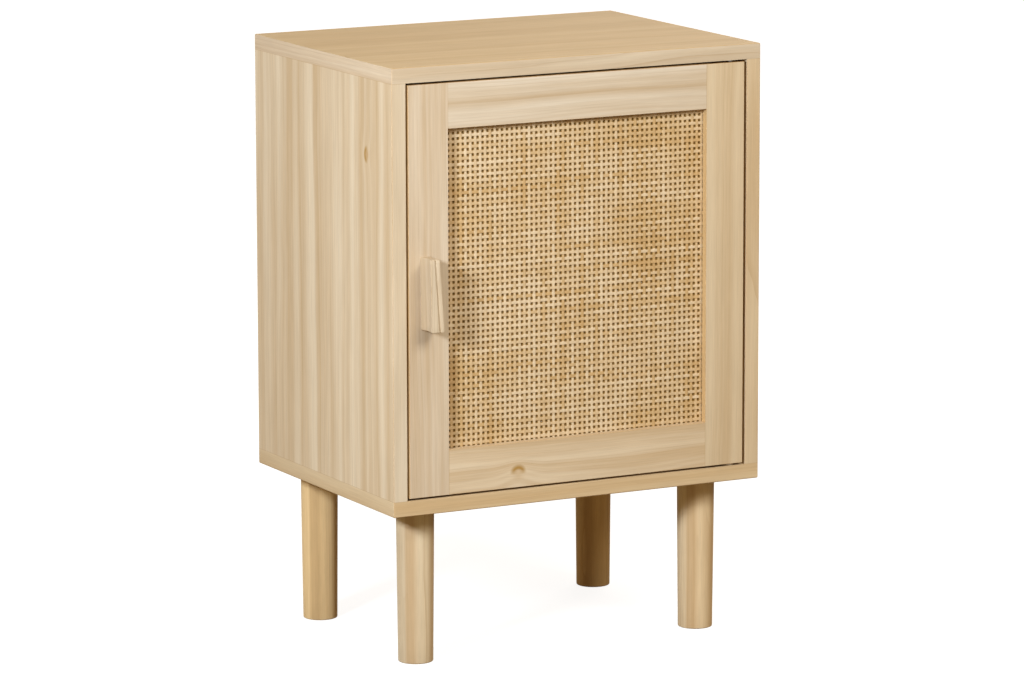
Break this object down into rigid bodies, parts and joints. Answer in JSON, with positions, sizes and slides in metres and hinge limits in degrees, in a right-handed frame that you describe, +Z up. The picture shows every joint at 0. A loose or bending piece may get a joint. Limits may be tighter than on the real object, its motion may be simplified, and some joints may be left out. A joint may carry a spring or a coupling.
{
  "type": "side table",
  "caption": "Small wooden storage side table: a box cabinet on short round legs, with a hinged framed door of woven cane and a wooden pull.",
  "frame": {"origin": "on the floor, under the middle of the whole footprint, handle included", "axes": "+Z up, -Y out of the door's front, +X to the right of someone facing the door"},
  "size_m": [0.4, 0.322, 0.583],
  "materials": {
    "pine": "clear matt lacquer",
    "dowel_wood": "plain",
    "plywood": "plain",
    "cane": "woven, natural",
    "steel": "zinc plated",
    "zinc": "die cast",
    "brass": "satin",
    "nylon": "matt",
    "catch_plastic": "matt",
    "magnet": "plain"
  },
  "bodies": {
    "cabinet": {"top_panel": "pine", "bottom_panel": "pine", "left_side_panel": "pine", "right_side_panel": "pine", "back_panel": "plywood", "back_panel_nails": "steel", "carcass_dowels": "dowel_wood", "cam_bolts": "steel", "cam_locks": "zinc", "leg_front_left": "pine", "leg_front_right": "pine", "leg_back_left": "pine", "leg_back_right": "pine", "leg_hanger_bolts": "steel", "leg_insert_nuts": "zinc", "upper_pivot_bush": "brass", "lower_pivot_bush": "brass", "lower_pivot_washer": "nylon", "catch_case": "catch_plastic", "catch_magnet": "magnet", "catch_screws": "steel"},
    "door": {"door_left_stile": "pine", "door_right_stile": "pine", "door_top_rail": "pine", "door_bottom_rail": "pine", "door_dowels": "dowel_wood", "cane_panel": "cane", "bead_left": "pine", "bead_right": "pine", "bead_top": "pine", "bead_bottom": "pine", "bead_nails": "steel", "handle": "pine", "handle_screws": "steel", "upper_pivot_pin": "steel", "lower_pivot_pin": "steel", "strike_plate": "steel", "strike_screws": "steel"}
  },
  "joints": [
    {"name": "door_hinge", "type": "hinge", "parent": "cabinet", "child": "door", "pos_m": [0.17, -0.131, 0.368], "axis": [0, 0, 1], "range_deg": [0, 110]}
  ]
}
